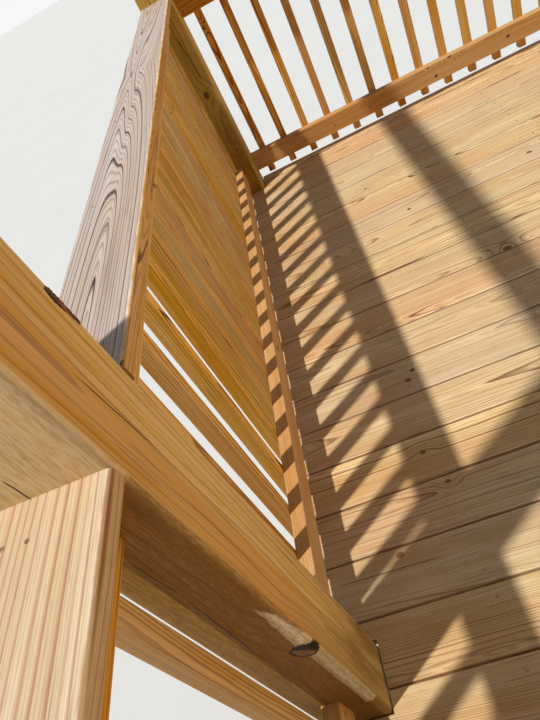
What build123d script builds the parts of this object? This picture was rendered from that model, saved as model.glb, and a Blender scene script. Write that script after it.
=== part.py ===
from build123d import *
import os

# A raised wooden deck with post-and-rail sides, open on the side of the house.
# Millimetres. +Z is up, +X runs along the deck boards, +Y points away from the house.
# The origin is on the ground, in the middle of the plan.

# Overall layout
DECK_HEIGHT = 2200.0  # ground to the top of the deck boards
POST_PITCH = 2438.0  # centre to centre of the posts, the same both ways
HEADER_CLEARANCE = 2210.0  # deck boards to the underside of the headers

# Lumber sections
POST_SIDE = 140.0
POST_EASE = 10.0  # rounding of the long edges
PLANK_THICKNESS = 38.0
BEAM_DEPTH = 235.0
HEADER_DEPTH = 235.0
JOIST_DEPTH = 184.0
RAIL_DEPTH = 89.0
RAIL_EASE = 3.0

# Deck boards
BOARD_WIDTH = 139.7
BOARD_THICKNESS = 25.0
BOARD_GAP = 5.0
BOARD_EASE = 4.0
BOARD_JOINT_OFFSET = -26.8  # the board joint that meets the middle posts
BOARD_TO_POST_GAP = 3.0
JOIST_SPACING = 417.5

# Railing
CAP_HEIGHT = 954.0  # deck boards to the top of the rail cap
CAP_WIDTH = 135.0
CAP_THICKNESS = 25.0
CAP_EASE = 5.0
RAIL_SETBACK = 62.0  # deck-side face of the posts to the face of the rails
FAR_RAILING_OFFSET = 22.0  # the far railing stands further out than the side ones
BOTTOM_RAIL_CLEARANCE = 65.0
BALUSTER_SIDE = 34.0
BALUSTER_EASE = 2.0
BALUSTER_CLEARANCE = 15.0  # deck boards to the lower ends
BALUSTER_PITCH = 122.5
SIDE_FIRST_GAP = 29.0  # middle post to the first baluster
FAR_FIRST_GAP = 51.0  # corner post to the first baluster

# Joist hangers on the ledger
HANGER_SHEET = 2.0
HANGER_HEIGHT = 120.0
HANGER_SEAT = 45.0
HANGER_FLANGE = 28.0

# Levels and lines that follow from the sizes
HALF_POST = POST_SIDE / 2
EDGE = POST_PITCH + HALF_POST  # outer face of the posts and rims
INNER_FACE = POST_PITCH - HALF_POST  # deck-side face of the outer posts
BOARD_PITCH = BOARD_WIDTH + BOARD_GAP
JOIST_TOP = DECK_HEIGHT - BOARD_THICKNESS
JOIST_BOTTOM = JOIST_TOP - JOIST_DEPTH
BEAM_BOTTOM = JOIST_BOTTOM - BEAM_DEPTH
RIM_INNER = EDGE - PLANK_THICKNESS
CAP_BOTTOM = DECK_HEIGHT + CAP_HEIGHT - CAP_THICKNESS
HEADER_BOTTOM = DECK_HEIGHT + HEADER_CLEARANCE
SIDE_CAP_EDGE = INNER_FACE  # deck-side edge of the caps of the side railings
FAR_CAP_EDGE = INNER_FACE + FAR_RAILING_OFFSET
JOIST_COUNT_EACH_SIDE = int((INNER_FACE - PLANK_THICKNESS) // JOIST_SPACING)


def bar(x, y, z, ease=0.0):
    """A straight timber between two corners, its long edges rounded by ease."""
    spans = [(x, Axis.X), (y, Axis.Y), (z, Axis.Z)]
    lengths = [high - low for (low, high), _ in spans]
    solid = Pos(sum(x) / 2, sum(y) / 2, sum(z) / 2) * Box(*lengths)
    if ease > 0:
        long_axis = spans[lengths.index(max(lengths))][1]
        solid = fillet(solid.edges().filter_by(long_axis), ease)
    return solid


def post(x, y, top):
    """A square post standing on the ground."""
    return bar(
        (x - HALF_POST, x + HALF_POST),
        (y - HALF_POST, y + HALF_POST),
        (0, top),
        POST_EASE,
    )


def deck_boards():
    """Boards along X from the house to the far edge, notched round the posts."""
    first = -int((EDGE + BOARD_JOINT_OFFSET) // BOARD_PITCH)
    last = int((EDGE - BOARD_JOINT_OFFSET) // BOARD_PITCH)
    notch = POST_SIDE + 2 * BOARD_TO_POST_GAP
    notches = [
        Pos(x, y, JOIST_TOP) * Box(notch, notch, 3 * BOARD_THICKNESS)
        for x, y in standing_posts()
    ]
    boards = []
    for row in range(first, last + 1):
        low = BOARD_JOINT_OFFSET + row * BOARD_PITCH + BOARD_GAP / 2
        high = min(low + BOARD_WIDTH, EDGE)
        board = bar((-EDGE, EDGE), (low, high), (JOIST_TOP, DECK_HEIGHT), BOARD_EASE)
        for _, y in standing_posts():
            if low < y + notch / 2 and high > y - notch / 2:
                board = board - notches
                break
        boards += board.solids()
    return boards


def standing_posts():
    """Plan positions of the posts that rise past the deck."""
    sides = [(x, y) for x in (-POST_PITCH, POST_PITCH) for y in (-POST_PITCH, 0, POST_PITCH)]
    return sides + [(0, POST_PITCH)]


def joists():
    """Joists along Y between the ledger and the far rim; the middle one meets a post."""
    solids = []
    for step in range(-JOIST_COUNT_EACH_SIDE, JOIST_COUNT_EACH_SIDE + 1):
        x = step * JOIST_SPACING
        far_end = INNER_FACE if abs(x) < HALF_POST else RIM_INNER
        solids.append(
            bar(
                (x - PLANK_THICKNESS / 2, x + PLANK_THICKNESS / 2),
                (-RIM_INNER, far_end),
                (JOIST_BOTTOM, JOIST_TOP),
            )
        )
    return solids


def joist_hangers():
    """Folded sheet stirrups that carry the joists on the ledger."""
    half = PLANK_THICKNESS / 2
    outer = half + HANGER_SHEET
    solids = []
    for step in range(-JOIST_COUNT_EACH_SIDE, JOIST_COUNT_EACH_SIDE + 1):
        x = step * JOIST_SPACING
        front = -RIM_INNER + HANGER_SEAT
        depth = (-RIM_INNER, front)
        height = (JOIST_BOTTOM - HANGER_SHEET, JOIST_BOTTOM + HANGER_HEIGHT)
        stirrup = bar((x - outer, x + outer), depth, height)
        stirrup -= bar((x - half, x + half), depth, (JOIST_BOTTOM, height[1]))
        flange_depth = (-RIM_INNER, -RIM_INNER + HANGER_SHEET)
        for side in (-1, 1):
            ends = sorted((x + side * half, x + side * (outer + HANGER_FLANGE)))
            stirrup += bar(tuple(ends), flange_depth, height)
        solids += stirrup.solids()
    return solids


def side_bays():
    """Clear spans between the posts along a side, as (low, high) pairs in Y."""
    return [(-INNER_FACE, -HALF_POST), (HALF_POST, INNER_FACE)]


def baluster(x, y):
    """One square baluster hung from just under the cap."""
    solid = bar(
        (-BALUSTER_SIDE / 2, BALUSTER_SIDE / 2),
        (-BALUSTER_SIDE / 2, BALUSTER_SIDE / 2),
        (DECK_HEIGHT + BALUSTER_CLEARANCE, CAP_BOTTOM),
        BALUSTER_EASE,
    )
    return Pos(x, y, 0) * solid


def baluster_places(first_gap):
    """Distances of the baluster centres from the post where the row starts."""
    places = []
    place = first_gap + BALUSTER_SIDE / 2
    while place + BALUSTER_SIDE / 2 < POST_PITCH - POST_SIDE:
        places.append(place)
        place += BALUSTER_PITCH
    return places


def railing_lines(cap_edge):
    """Spans across a railing of its cap and of its rails, and the line of its balusters."""
    cap = (cap_edge, cap_edge + CAP_WIDTH)
    rail_inner = cap_edge + RAIL_SETBACK
    rail_outer = rail_inner + PLANK_THICKNESS
    return cap, (rail_inner, rail_outer), rail_outer + BALUSTER_SIDE / 2


def mirrored(span):
    """The same span on the other side of the middle of the deck."""
    low, high = span
    return (-high, -low)


def railing_levels():
    """Spans in height of the cap, the top rail and the bottom rail."""
    low = DECK_HEIGHT + BOTTOM_RAIL_CLEARANCE
    return {
        "rail_cap": (CAP_BOTTOM, CAP_BOTTOM + CAP_THICKNESS),
        "top_rail": (CAP_BOTTOM - RAIL_DEPTH, CAP_BOTTOM),
        "bottom_rail": (low, low + RAIL_DEPTH),
    }


def left_railing():
    """Pieces of the left railing by name, in the two bays beside the middle post."""
    cap, rail, baluster_line = railing_lines(SIDE_CAP_EDGE)
    pieces = {}
    for name, height in railing_levels().items():
        across = mirrored(cap if name == "rail_cap" else rail)
        ease = CAP_EASE if name == "rail_cap" else RAIL_EASE
        pieces[name] = [bar(across, span, height, ease) for span in side_bays()]
    places = [HALF_POST + place for place in baluster_places(SIDE_FIRST_GAP)]
    far_bay = [baluster(-baluster_line, y) for y in places]
    house_bay = [baluster(-baluster_line, -y) for y in places]
    pieces["balusters"] = far_bay + house_bay
    return pieces


def far_railing():
    """Pieces of the far railing by name, in the two bays beside its middle post."""
    cap, rail, baluster_line = railing_lines(FAR_CAP_EDGE)
    pieces = {}
    for name, height in railing_levels().items():
        across = cap if name == "rail_cap" else rail
        ease = CAP_EASE if name == "rail_cap" else RAIL_EASE
        pieces[name] = [bar(span, across, height, ease) for span in side_bays()]
    places = [INNER_FACE - place for place in baluster_places(FAR_FIRST_GAP)]
    left_bay = [baluster(-x, baluster_line) for x in places]
    right_bay = [baluster(x, baluster_line) for x in places]
    pieces["balusters"] = left_bay + right_bay
    return pieces


def left_rim():
    """Rim joist of the left side, butted between the posts."""
    return [bar((-EDGE, -RIM_INNER), span, (JOIST_BOTTOM, JOIST_TOP)) for span in side_bays()]


def far_rim():
    """Rim joist of the far side, butted between the posts."""
    return [bar(span, (RIM_INNER, EDGE), (JOIST_BOTTOM, JOIST_TOP)) for span in side_bays()]


def ledger():
    """Plank bolted to the wall of the house, between the two end posts."""
    return [bar((-INNER_FACE, INNER_FACE), (-EDGE, -RIM_INNER), (JOIST_BOTTOM, JOIST_TOP))]


def beam_plank(post_face, layer):
    """One plank of a two-plank beam, bolted to the house-side faces of the posts."""
    near = post_face - (layer + 1) * PLANK_THICKNESS
    return [bar((-EDGE, EDGE), (near, near + PLANK_THICKNESS), (BEAM_BOTTOM, JOIST_BOTTOM))]


def left_header_plank(side):
    """One plank of the left header, side -1 outside and +1 inside."""
    edges = sorted((-POST_PITCH, -POST_PITCH + side * PLANK_THICKNESS))
    return [bar(tuple(edges), (-EDGE, EDGE), (HEADER_BOTTOM, HEADER_BOTTOM + HEADER_DEPTH))]


def far_header_plank(side):
    """One plank of the far header, side -1 inside and +1 outside."""
    edges = sorted((POST_PITCH, POST_PITCH + side * PLANK_THICKNESS))
    reach = POST_PITCH - PLANK_THICKNESS
    return [bar((-reach, reach), tuple(edges), (HEADER_BOTTOM, HEADER_BOTTOM + HEADER_DEPTH))]


def write(name, solids):
    """Save the solids of one named piece."""
    export_step(Compound(children=solids), f"parts/{name}.step")


def write_mirrored(name, solids):
    """Save a left-hand piece and its right-hand twin."""
    write(f"left_{name}", solids)
    write(f"right_{name}", [mirror(solid, about=Plane.YZ) for solid in solids])


def write_posts():
    """Save every post under the name of its place."""
    for place, y in (("house", -POST_PITCH), ("middle", 0), ("far", POST_PITCH)):
        write_mirrored(f"{place}_post", [post(-POST_PITCH, y, HEADER_BOTTOM)])
    write("far_middle_post", [post(0, POST_PITCH, HEADER_BOTTOM)])
    write("under_deck_post", [post(0, 0, JOIST_BOTTOM)])


def write_framing():
    """Save the beams, joists, rims and ledger under the boards."""
    write("middle_beam_front_plank", beam_plank(-HALF_POST, 1))
    write("middle_beam_back_plank", beam_plank(-HALF_POST, 0))
    write("far_beam_front_plank", beam_plank(INNER_FACE, 1))
    write("far_beam_back_plank", beam_plank(INNER_FACE, 0))
    write("joists", joists())
    write("joist_hangers", joist_hangers())
    write("ledger", ledger())
    write("far_rim_joist", far_rim())
    write_mirrored("rim_joist", left_rim())


def write_railings():
    """Save the three railings."""
    for name, solids in left_railing().items():
        write_mirrored(name, solids)
    for name, solids in far_railing().items():
        write(f"far_{name}", solids)


def write_headers():
    """Save the headers on top of the posts."""
    write_mirrored("header_outer_plank", left_header_plank(-1))
    write_mirrored("header_inner_plank", left_header_plank(1))
    write("far_header_inner_plank", far_header_plank(-1))
    write("far_header_outer_plank", far_header_plank(1))


os.makedirs("parts", exist_ok=True)
write("deck_boards", deck_boards())
write_posts()
write_framing()
write_railings()
write_headers()
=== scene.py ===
import math
import random
from dataclasses import dataclass
from functools import partialmethod

import bpy
from mathutils import Matrix, Vector


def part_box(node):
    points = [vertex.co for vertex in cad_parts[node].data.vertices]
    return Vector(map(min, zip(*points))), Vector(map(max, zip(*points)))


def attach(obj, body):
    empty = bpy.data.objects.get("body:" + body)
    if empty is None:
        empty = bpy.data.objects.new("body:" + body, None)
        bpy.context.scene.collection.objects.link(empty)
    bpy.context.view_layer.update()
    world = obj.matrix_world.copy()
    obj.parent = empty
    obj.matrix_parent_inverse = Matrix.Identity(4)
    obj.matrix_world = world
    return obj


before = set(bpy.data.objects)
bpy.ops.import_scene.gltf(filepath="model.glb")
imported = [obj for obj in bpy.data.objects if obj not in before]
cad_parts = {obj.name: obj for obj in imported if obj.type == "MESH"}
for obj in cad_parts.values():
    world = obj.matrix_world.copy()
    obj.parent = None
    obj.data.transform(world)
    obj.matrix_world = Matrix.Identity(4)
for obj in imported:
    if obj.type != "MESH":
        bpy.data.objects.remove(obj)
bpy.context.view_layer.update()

# Sizes shared with the model, in metres
DECK_TOP = 2.2
POST_PITCH = 2.438
HALF_POST = 0.07
POST_EASE = 0.01
EDGE = POST_PITCH + HALF_POST
INNER_FACE = POST_PITCH - HALF_POST
POST_PLACES = [(x, y) for x in (-POST_PITCH, POST_PITCH) for y in (-POST_PITCH, 0, POST_PITCH)]
POST_PLACES.append((0, POST_PITCH))
BOARD_WIDTH = 0.1397
BOARD_THICKNESS = 0.025
BOARD_PITCH = 0.1447
BOARD_JOINT = -0.0268
BOARD_ROWS = range(-17, 18)
JOIST_SPACING = 0.4175
JOISTS_EACH_SIDE = 5
JOISTS = range(-JOISTS_EACH_SIDE, JOISTS_EACH_SIDE + 1)
BALUSTER_SIDE = 0.034
BALUSTER_PITCH = 0.1225
SIDE_FIRST_GAP = 0.029
FAR_FIRST_GAP = 0.051
CAP_TOP = DECK_TOP + 0.954
CAP_WIDTH = 0.135
CAP_THICKNESS = 0.025
RAIL_DEPTH = 0.089
PLANK = 0.038
HANGER_SHEET = 0.002
RIM_LINE = EDGE - PLANK / 2

# Deck screws, which the darker rings on the boards follow: partly crushed wood, partly painted shade
# of the sunk holes
SCREW_LINE = BOARD_WIDTH / 2 - 0.028
SCREW_SCATTER = 0.003

AXES = "XYZ"

# The axis that points out of the deck on each side, and which way
SIDES = {"left": (0, -1), "right": (0, 1), "far": (1, 1)}


# Shader values that can be added and multiplied


def plug(node, inputs):
    """Link fields to the inputs of a node, by name or place, or set them to plain values."""
    for name, value in inputs.items():
        if isinstance(value, Field):
            value.tree.links.new(value.socket, node.inputs[name])
        else:
            node.inputs[name].default_value = value


class Field:
    """One value of a shader, written with sums and products."""

    def __init__(self, socket):
        self.socket = socket
        self.tree = socket.id_data

    def math(self, operation, *others):
        return made("ShaderNodeMath", dict(enumerate((self, *others))), operation=operation)

    __add__ = partialmethod(math, "ADD")
    __sub__ = partialmethod(math, "SUBTRACT")
    __mul__ = partialmethod(math, "MULTIPLY")
    __truediv__ = partialmethod(math, "DIVIDE")
    __neg__ = partialmethod(math, "MULTIPLY", -1.0)
    floor = partialmethod(math, "FLOOR")
    fract = partialmethod(math, "FRACT")
    size = partialmethod(math, "ABSOLUTE")
    sign = partialmethod(math, "SIGN")
    lower = partialmethod(math, "MINIMUM")
    higher = partialmethod(math, "MAXIMUM")

    def length_with(self, other):
        return (self * self + other * other).math("SQRT")

    def rises(self, low, high):
        """0 below low, 1 above high, smooth between."""
        inputs = {"Value": self, "From Min": low, "From Max": high}
        return made("ShaderNodeMapRange", inputs, interpolation_type="SMOOTHSTEP")

    def falls(self, low, high):
        """1 below low, 0 above high, smooth between."""
        return -self.rises(low, high) + 1.0

    def between(self, low, high, soft):
        """1 from low to high and 0 beyond, with soft edges."""
        return self.rises(low - soft, low) * self.falls(high, high + soft)


def made(kind, inputs, output=0, **settings):
    """An output of a new shader node, with fields and plain values on its inputs."""
    tree = next(value.tree for value in inputs.values() if isinstance(value, Field))
    node = tree.nodes.new(kind)
    for name, value in settings.items():
        setattr(node, name, value)
    plug(node, inputs)
    return Field(node.outputs[output])


def outputs_of(value):
    """All outputs of the node that a value comes from."""
    return [Field(socket) for socket in value.socket.node.outputs]


def blend(factor, low, high):
    """low where factor is 0 and high where it is 1; low and high may be numbers."""
    return (-factor + 1.0) * low + factor * high


def vector(x, y, z):
    return made("ShaderNodeCombineXYZ", {"X": x, "Y": y, "Z": z})


def noise(x, y, z, detail, roughness=0.5):
    """Smooth noise of three fields, about 0.5 on average."""
    inputs = {"Vector": vector(x, y, z), "Scale": 1.0, "Detail": detail, "Roughness": roughness}
    return made("ShaderNodeTexNoise", inputs, "Fac")


def speckle(spot, waves, detail, roughness=0.5):
    """Noise with a number of waves in a metre, the same in all directions."""
    return noise(*(spot[axis] * waves for axis in AXES), detail, roughness)


def chances(x, y, z=0.0):
    """Three unrelated values from 0 to 1 for each whole number."""
    inputs = {"Vector": vector(x, y, z)}
    colour = made("ShaderNodeTexWhiteNoise", inputs, "Color", noise_dimensions="3D")
    return outputs_of(made("ShaderNodeSeparateColor", {0: colour}))


def mix(factor, low, high):
    return made("ShaderNodeMix", {0: factor, 6: low, 7: high}, 2, data_type="RGBA")


def tinted(colour, hue, saturation, value):
    inputs = {"Hue": hue, "Saturation": saturation, "Value": value, "Color": colour}
    return made("ShaderNodeHueSaturation", inputs)


def rgb(red, green, blue):
    """A display colour, 0 to 255, as a shader takes it."""
    linear = []
    for part in (red, green, blue):
        part /= 255
        linear.append(part / 12.92 if part <= 0.04045 else ((part + 0.055) / 1.055) ** 2.4)
    return (*linear, 1.0)


def by_axis(tree, kind, output):
    """A vector that a kind of node gives, by axis."""
    whole = Field(tree.nodes.new(kind).outputs[output])
    return dict(zip(AXES, outputs_of(made("ShaderNodeSeparateXYZ", {0: whole}))))


def new_material(name):
    """A node material, its shader, and where a point of its surface is, in metres."""
    material = bpy.data.materials.new(name)
    material.use_nodes = True
    tree = material.node_tree
    return material, tree.nodes["Principled BSDF"], by_axis(tree, "ShaderNodeTexCoord", "Object")


def relief(height, distance, strength):
    inputs = {"Strength": strength, "Distance": distance, "Height": height}
    return made("ShaderNodeBump", inputs, "Normal")


# Wood grain as rings round a pith


# Waves in a metre of each pattern, along the timber and across it
WOBBLE_WAVES = (2.6, 16.0)
RIPPLE_WAVES = (11.0, 60.0)
FIBRE_WAVES = (7.0, 330.0)
STREAK_WAVES = (1.6, 70.0)
TONE_WAVES = (1.4, 7.0)
SPLIT_WAVES = (5.0, 230.0)
FLECK_WAVES = (42.0, 420.0)
PITH_WAVES = 0.9

# How far the pith lies off its usual place, wanders and slants
PITH_OFFSET = 0.15
PITH_DRIFT = 0.05
PITH_SWAY = 0.045
PITH_DEPTH_RANGE = 0.9
SLANT_ACROSS = 0.012
SLANT_DEPTH = 0.02

# How far the rings wander, in metres, and in years
WOBBLE = 0.006
RIPPLE = 0.0015
UNEVEN_YEARS = 2.2
FINE_RINGS = 3.3

# Knots that fall by chance, and the shape of every knot
KNOT_RADIUS = 0.0035
KNOT_RADIUS_RANGE = 0.008
KNOT_STRETCH = 0.75
KNOT_REACH = 0.09
KNOT_PULL = 1.4

GRAIN_INPUTS = dict(
    Along=0.0, Across=0.0, Depth=0.0, Seed=0.0, Edge=0.0, Width=0.14, Thickness=0.038,
    Ring=0.006, Early=0.45, Fine=0.3, PithAcross=0.0, PithDepth=-0.06, TiltAcross=0.0, TiltDepth=0.0,
    Spread=1.0, Waver=1.0, KnotStep=0.6, KnotChance=0.3, Bulge=0.0,
)
GRAIN_OUTPUTS = ("Late", "Fibre", "Streak", "Tone", "Knot", "Check", "Fleck", "Timber", "Hue")


def near_knot(along, across, radius):
    """How many radii away a knot is, and how far it pushes the rings out."""
    near = (along * KNOT_STRETCH).length_with(across) / radius
    return near, (near * near * -KNOT_REACH).math("EXPONENT") * radius * KNOT_PULL


def grain_group():
    """Growth rings, fibres, knots and checks of a timber cut from a log."""
    tree = bpy.data.node_groups.new("grain", "ShaderNodeTree")
    for name, value in GRAIN_INPUTS.items():
        socket = tree.interface.new_socket(name, in_out="INPUT", socket_type="NodeSocketFloat")
        socket.default_value = value
    for name in GRAIN_OUTPUTS:
        tree.interface.new_socket(name, in_out="OUTPUT", socket_type="NodeSocketFloat")
    source = tree.nodes.new("NodeGroupInput")
    result = tree.nodes.new("NodeGroupOutput")
    given = {name: Field(source.outputs[name]) for name in GRAIN_INPUTS}
    along, across, depth, seed = (given[n] for n in ("Along", "Across", "Depth", "Seed"))

    def waves(pattern):
        """A place in the timber, counted in the waves of a pattern."""
        return along * pattern[0], across * pattern[1], depth * pattern[1]

    first, second, third = chances(seed, 0.5)
    fourth, timber, hue = chances(seed, 7.5)

    # One knot may lie in each step along the timber, on the wide faces or on the edges
    edge = given["Edge"]
    face_seed = seed + edge * 31.0
    cell = (along / given["KnotStep"]).floor()
    where, side, size = chances(cell, face_seed, 3.0)
    luck = chances(cell, face_seed, 9.0)[0]
    present = (given["KnotChance"] - luck).rises(0.0, 0.001)
    knot_along = (cell + where * 0.5 + 0.25) * given["KnotStep"]
    knot_across = (side - 0.5) * blend(edge, given["Width"], given["Thickness"])
    radius = size * size * KNOT_RADIUS_RANGE + KNOT_RADIUS
    over_face = blend(edge, across, depth)
    near, push = near_knot(along - knot_along, over_face - knot_across, radius)
    knot = near.falls(0.7, 1.1) * present
    bulge = push * present + given["Bulge"]

    # The pith wanders along the log
    waver = given["Waver"]
    drift = (noise(along * PITH_WAVES, seed * 5.3, 0.0, 1.0) - 0.5) * waver
    sway = (noise(along * PITH_WAVES, seed * 5.3, 9.0, 1.0) - 0.5) * waver
    spread = given["Spread"]
    slant = given["TiltAcross"] + (second - 0.5) * spread * SLANT_ACROSS
    pith_across = given["PithAcross"] + (first - 0.5) * spread * PITH_OFFSET
    pith_across = pith_across + drift * PITH_DRIFT + along * slant
    slant = given["TiltDepth"] + (fourth - 0.5) * spread * SLANT_DEPTH
    pith_depth = given["PithDepth"] * ((third - 0.5) * spread * PITH_DEPTH_RANGE + 1.0)
    pith_depth = pith_depth + sway * PITH_SWAY + along * slant

    # Rings are counted from the pith, and bend round the knots
    x, y, z = waves(WOBBLE_WAVES)
    wobble = noise(x, y + seed * 3.7, z, 2.0) - 0.5
    x, y, z = waves(RIPPLE_WAVES)
    ripple = noise(x, y + seed, z, 1.0) - 0.5
    from_pith = (across - pith_across).length_with(depth - pith_depth)
    wander = (wobble * WOBBLE + ripple * RIPPLE) * waver
    rings = (from_pith + wander + bulge) / given["Ring"]
    uneven = noise(rings * 0.31, seed * 2.1, 4.0, 0.0) - 0.5
    rings = rings + uneven * UNEVEN_YEARS
    year = rings.fract()
    weight = chances(rings.floor(), seed, 1.0)[0]
    late = year.rises(given["Early"], 0.9) * year.falls(0.93, 1.0) * (weight * 0.55 + 0.45)
    season = (rings * FINE_RINGS).fract()
    late = late.higher(season.rises(0.4, 0.8) * season.falls(0.85, 1.0) * given["Fine"])

    # Fibres, streaks, patches of tone, splits and flecks
    x, y, z = waves(FIBRE_WAVES)
    fibre = noise(x, y, z + seed, 1.0, 0.6)
    x, y, z = waves(STREAK_WAVES)
    streak = noise(x, y, z + seed, 2.0, 0.55)
    x, y, z = waves(TONE_WAVES)
    tone = noise(x, y, z + seed * 3.0, 1.0)
    x, y, z = waves(SPLIT_WAVES)
    check = noise(x, y + seed, z, 0.0).rises(0.73, 0.8)
    x, y, z = waves(FLECK_WAVES)
    fleck = noise(x, y + seed, z, 0.0).rises(0.64, 0.74)

    results = (late, fibre, streak, tone, knot, check, fleck, timber, hue)
    plug(result, dict(zip(GRAIN_OUTPUTS, results)))
    return tree


GRAIN = grain_group()


@dataclass
class Look:
    """Colours and strengths that make one kind of timber.

    contrast is how strong the late wood is. streak, tone and change say how much the
    brightness differs within a timber, over its length and from one to another. The last two
    say how pale its long edges are, partly wear and partly a painted highlight, and how much
    darker its narrow faces are than its wide ones, which is painted shade on square posts and
    balusters.
    """

    early: tuple
    late: tuple
    blush: tuple
    contrast: float
    streak: float
    tone: float
    change: float
    edge_wear_and_highlight: float = 0.2
    sides: float = 0.0

    def shades(self):
        """Its early wood, blush and late wood, as a shader takes them."""
        return [rgb(*colour) for colour in (self.early, self.blush, self.late)]


@dataclass
class Lie:
    """How the timbers of a node lie: along, across and through them, and their section."""

    along: str
    across: str
    depth: str
    width: float
    thickness: float


class Cut:
    """One way that a timber was cut: its look, its rings and the knots at known places.

    Each knot is its place along and across, its radius, whether it is on a narrow face,
    and the seed of its timber, or None where the node has only one. side_look is for
    caps, whose narrow faces have weathered less than the wide ones and whose rings
    stand out in relief.
    """

    def __init__(self, look, knots=(), side_look=None, **rings):
        self.look = look
        self.knots = knots
        self.side_look = side_look
        self.rings = rings


ROUGHNESS = 0.68
ROUGHNESS_RANGE = 0.1
GLOSS = 0.22
GRAIN_RELIEF = 0.0006
RELIEF_STRENGTH = 0.8
SIDE_REACH = 0.008
SIDE_RAGGED = 0.006
ARRIS_COLOUR = rgb(238, 214, 184)
KNOT_COLOUR = rgb(84, 40, 16)
CHECK_COLOUR = rgb(62, 36, 14)
END_COLOUR = rgb(150, 104, 58)

DECK_LOOK = Look(
    (234, 202, 152), (118, 76, 42), (224, 186, 138), contrast=0.95, streak=0.4, tone=0.3, change=0.16
)
POST_LOOK = Look(
    (238, 190, 92), (130, 80, 28), (206, 148, 54),
    contrast=0.72, streak=0.36, tone=0.9, change=0.06, sides=0.2,
)
RAIL_LOOK = Look(
    (222, 170, 92), (152, 96, 40), (210, 152, 76), contrast=0.75, streak=0.25, tone=0.3, change=0.1
)
BALUSTER_LOOK = Look(
    (240, 188, 100), (118, 68, 26), (224, 162, 74),
    contrast=0.95, streak=0.3, tone=0.35, change=0.2, sides=0.2,
)
FRAME_LOOK = Look(
    (206, 170, 108), (160, 118, 62), (196, 156, 96), contrast=0.75, streak=0.3, tone=0.4, change=0.14
)
NEW_CAP_LOOK = Look(
    (226, 206, 168), (174, 122, 94), (216, 192, 156), contrast=0.95, streak=0.3, tone=0.2, change=0.05
)
NEW_SIDE_LOOK = Look(
    (210, 178, 132), (152, 108, 74), (200, 162, 116), contrast=0.85, streak=0.3, tone=0.3, change=0.05
)
OLD_CAP_LOOK = Look(
    (210, 192, 182), (68, 52, 48), (200, 178, 164),
    contrast=0.95, streak=0.34, tone=0.3, change=0.05, edge_wear_and_highlight=0.5,
)
OLD_SIDE_LOOK = Look(
    (214, 160, 98), (126, 78, 38), (198, 142, 80), contrast=0.8, streak=0.3, tone=0.3, change=0.05
)


def known_knots(where, knots):
    """How far the knots at known places push the rings out, and how dark they are."""
    bulge, dark = 0.0, 0.0
    for along, across, radius, on_edge, timber in knots:
        over_face = where["Depth" if on_edge else "Across"]
        near, push = near_knot(where["Along"] - along, over_face - across, radius)
        here = where["Edge"] if on_edge else -where["Edge"] + 1.0
        if timber is not None:
            here = here * (where["Seed"] - timber).size().falls(0.1, 0.4)
        bulge = push * here + bulge
        dark = (near.falls(0.75, 1.1) * here).higher(dark)
    return bulge, dark


def side_zone(where, width):
    """Where a cap has the look of its narrow faces, and the pale edge beside it."""
    along = where["Along"]
    ragged = noise(along * 30.0, where["Across"] * 40.0, 0.0, 3.0) * SIDE_RAGGED
    over = where["Across"] - (width / 2 - SIDE_REACH) - ragged
    arris = over.rises(-0.002, 0.0) * over.falls(0.0, 0.003)
    arris = arris * noise(along * 22.0, 3.0, 0.0, 3.0).rises(0.35, 0.6)
    return where["Edge"].higher(over.rises(0.0, 0.002)), arris


def wood_surface(lie, where, cut):
    """Colour and height of one timber."""
    look = cut.look
    bulge, dark = known_knots(where, cut.knots)
    inputs = {**where, "Width": lie.width, "Thickness": lie.thickness, "Bulge": bulge}
    for key, value in cut.rings.items():
        inputs[key] = value(where) if callable(value) else value
    grain = made("ShaderNodeGroup", inputs, node_tree=GRAIN)
    shown = dict(zip(GRAIN_OUTPUTS, outputs_of(grain)))
    late, fibre, streak, tone = (shown[n] for n in ("Late", "Fibre", "Streak", "Tone"))
    timber, hue, fleck = (shown[n] for n in ("Timber", "Hue", "Fleck"))

    shades = look.shades()
    arris = None
    if cut.side_look:
        zone, arris = side_zone(where, lie.width)
        shades = [mix(zone, *pair) for pair in zip(shades, cut.side_look.shades())]
    colour = mix(tone.rises(0.38, 0.62), shades[0], shades[1])
    strength = (timber * 0.6 + 0.7) * look.contrast
    colour = mix(late * strength, colour, shades[2])
    if arris is not None:
        colour = mix(arris * 0.8, colour, ARRIS_COLOUR)
    # The sides share of the look draws the narrow faces darker: painted shade
    value = (tone - 0.5) * look.tone + (timber - 0.5) * look.change + (fibre - 0.5) * 0.2
    value = value + (streak - 0.5) * look.streak - fleck * 0.1 - where["Edge"] * look.sides + 1.0
    turn = (hue - 0.5) * 0.01 + (streak - 0.5) * 0.012 + 0.5
    saturation = (streak - 0.5) * -0.4 + (timber - 0.5) * 0.14 + 1.0
    colour = tinted(colour, turn, saturation, value)

    # Long edges are a little paler: partly where they are rubbed, partly a painted highlight along
    # the edges
    side = where["Across"].size() * 2 / lie.width
    other_side = where["Depth"].size() * 2 / lie.thickness
    corner = side.lower(other_side).rises(0.86, 0.97)
    rubbed = noise(where["Along"] * 5.0, where["Across"] * 30.0, where["Depth"] * 30.0, 3.0)
    corner = corner * rubbed.rises(0.35, 0.7)
    colour = tinted(colour, 0.5, -(corner * 0.2) + 1.0, corner * look.edge_wear_and_highlight + 1.0)

    knot = shown["Knot"].higher(dark)
    colour = mix(knot * (fibre * 0.5 + 0.6), colour, KNOT_COLOUR)
    colour = mix(shown["Check"] * 0.35, colour, CHECK_COLOUR)
    height = fibre * 0.5 - shown["Check"] - knot * 0.4
    if cut.side_look:
        height = height + late * 0.5
    return colour, height


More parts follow.
